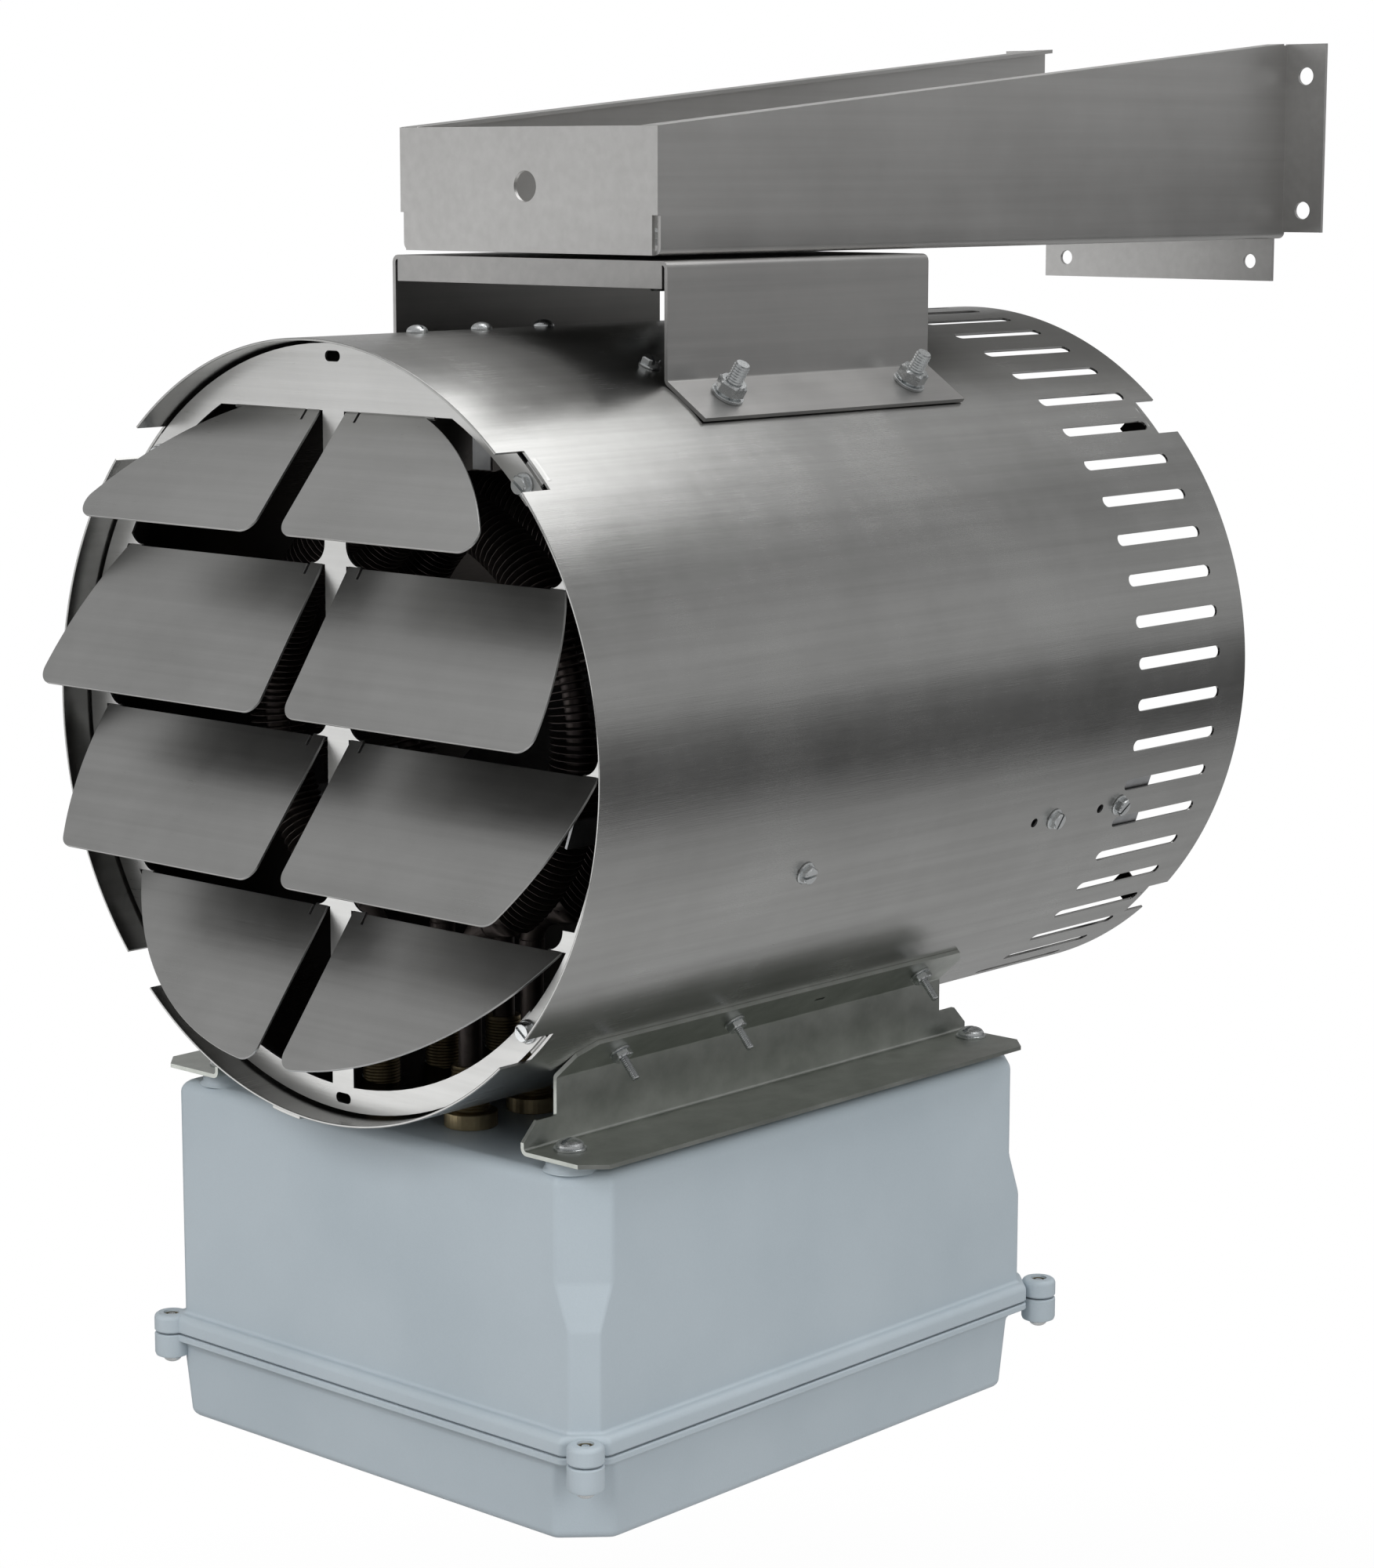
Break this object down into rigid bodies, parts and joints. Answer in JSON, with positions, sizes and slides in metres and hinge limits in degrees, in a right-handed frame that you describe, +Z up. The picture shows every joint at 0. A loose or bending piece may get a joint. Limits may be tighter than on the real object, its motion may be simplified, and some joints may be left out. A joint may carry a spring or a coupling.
{
  "type": "ceiling mounted fan heater",
  "caption": "Round sheet metal fan heater with bent louvre blades, hung on a swivel bolt under a tapered cantilever bracket, with a moulded control box below it.",
  "frame": {"origin": "the middle of the four bolt holes in the bracket's arm flanges, on the mounting face", "axes": "+Y into the wall that the bracket is bolted to, +X to the right for someone facing the louvres, +Z up"},
  "size_m": [0.3556, 0.6814, 0.6749],
  "materials": {
    "stainless_bracket": "brushed",
    "stainless_casing": "brushed",
    "stainless_louver": "brushed",
    "stainless_rail": "brushed",
    "zinc": "bright zinc plate",
    "brass": "plain",
    "box_plastic": "light blue grey, fine matte",
    "motor_paint": "black satin",
    "fan_metal": "mill finish, dusty",
    "element_steel": "dark, heat tinted",
    "galvanised": "galvanised",
    "ceramic_white": "white",
    "coil_iron": "varnished",
    "device_black": "black",
    "gasket_rubber": "matte"
  },
  "bodies": {
    "bracket": {"bracket": "stainless_bracket", "swivel_bolt": "zinc", "swivel_nut": "zinc", "swivel_washers": "zinc"},
    "heater": {"casing": "stainless_casing", "saddle": "stainless_casing", "saddle_bolts": "zinc", "saddle_nuts": "zinc", "rail_left": "stainless_rail", "rail_right": "stainless_rail", "rail_bolts": "zinc", "rail_nuts": "zinc", "box_screws": "zinc", "louver_plate": "stainless_louver", "louver_screws": "zinc", "motor": "motor_paint", "motor_cradle": "galvanised", "cradle_screws": "zinc", "motor_bolts": "zinc", "element_front": "element_steel", "element_middle": "element_steel", "element_rear": "element_steel", "element_hangers": "galvanised", "hanger_screws": "zinc", "element_stays": "galvanised", "stay_screws": "zinc", "element_fittings": "brass", "cutout": "ceramic_white", "cutout_screw": "zinc", "control_box": "box_plastic", "box_inserts": "brass", "panel": "galvanised", "panel_screws": "zinc", "contactor": "device_black", "transformer": "coil_iron", "terminal_block": "ceramic_white", "earth_bar": "brass"},
    "fan": {"motor_shaft": "zinc", "fan_hub": "fan_metal", "fan_wheel": "fan_metal"},
    "lid": {"lid": "box_plastic", "lid_gasket": "gasket_rubber", "lid_screws": "zinc"},
    "blade_1_left": {"blade_1_left": "stainless_louver"},
    "blade_1_right": {"blade_1_right": "stainless_louver"},
    "blade_2_left": {"blade_2_left": "stainless_louver"},
    "blade_2_right": {"blade_2_right": "stainless_louver"},
    "blade_3_left": {"blade_3_left": "stainless_louver"},
    "blade_3_right": {"blade_3_right": "stainless_louver"},
    "blade_4_left": {"blade_4_left": "stainless_louver"},
    "blade_4_right": {"blade_4_right": "stainless_louver"}
  },
  "joints": [
    {"name": "swivel", "type": "hinge", "parent": "bracket", "child": "heater", "pos_m": [0, -0.4167, 0], "axis": [0, 0, 1], "range_deg": [-90, 90]},
    {"name": "fan_spin", "type": "hinge", "parent": "heater", "child": "fan", "pos_m": [0, -0.399, -0.264], "axis": [0, 1, 0], "continuous": true},
    {"name": "lid_drop", "type": "slide", "parent": "heater", "child": "lid", "axis": [0, 0, -1], "range_m": [0, 0.12]},
    {"name": "blade_1_left_bend", "type": "hinge", "parent": "heater", "child": "blade_1_left", "pos_m": [0, -0.6326, -0.119], "axis": [-1, 0, 0], "range_deg": [-30, 30]},
    {"name": "blade_1_right_bend", "type": "hinge", "parent": "heater", "child": "blade_1_right", "pos_m": [0, -0.6326, -0.119], "axis": [-1, 0, 0], "range_deg": [-30, 30]},
    {"name": "blade_2_left_bend", "type": "hinge", "parent": "heater", "child": "blade_2_left", "pos_m": [0, -0.6326, -0.18805], "axis": [-1, 0, 0], "range_deg": [-24, 36]},
    {"name": "blade_2_right_bend", "type": "hinge", "parent": "heater", "child": "blade_2_right", "pos_m": [0, -0.6326, -0.18805], "axis": [-1, 0, 0], "range_deg": [-24, 36]},
    {"name": "blade_3_left_bend", "type": "hinge", "parent": "heater", "child": "blade_3_left", "pos_m": [0, -0.6326, -0.26635], "axis": [-1, 0, 0], "range_deg": [-28, 32]},
    {"name": "blade_3_right_bend", "type": "hinge", "parent": "heater", "child": "blade_3_right", "pos_m": [0, -0.6326, -0.26635], "axis": [-1, 0, 0], "range_deg": [-28, 32]},
    {"name": "blade_4_left_bend", "type": "hinge", "parent": "heater", "child": "blade_4_left", "pos_m": [0, -0.6326, -0.34465], "axis": [-1, 0, 0], "range_deg": [-27, 33]},
    {"name": "blade_4_right_bend", "type": "hinge", "parent": "heater", "child": "blade_4_right", "pos_m": [0, -0.6326, -0.34465], "axis": [-1, 0, 0], "range_deg": [-27, 33]}
  ]
}
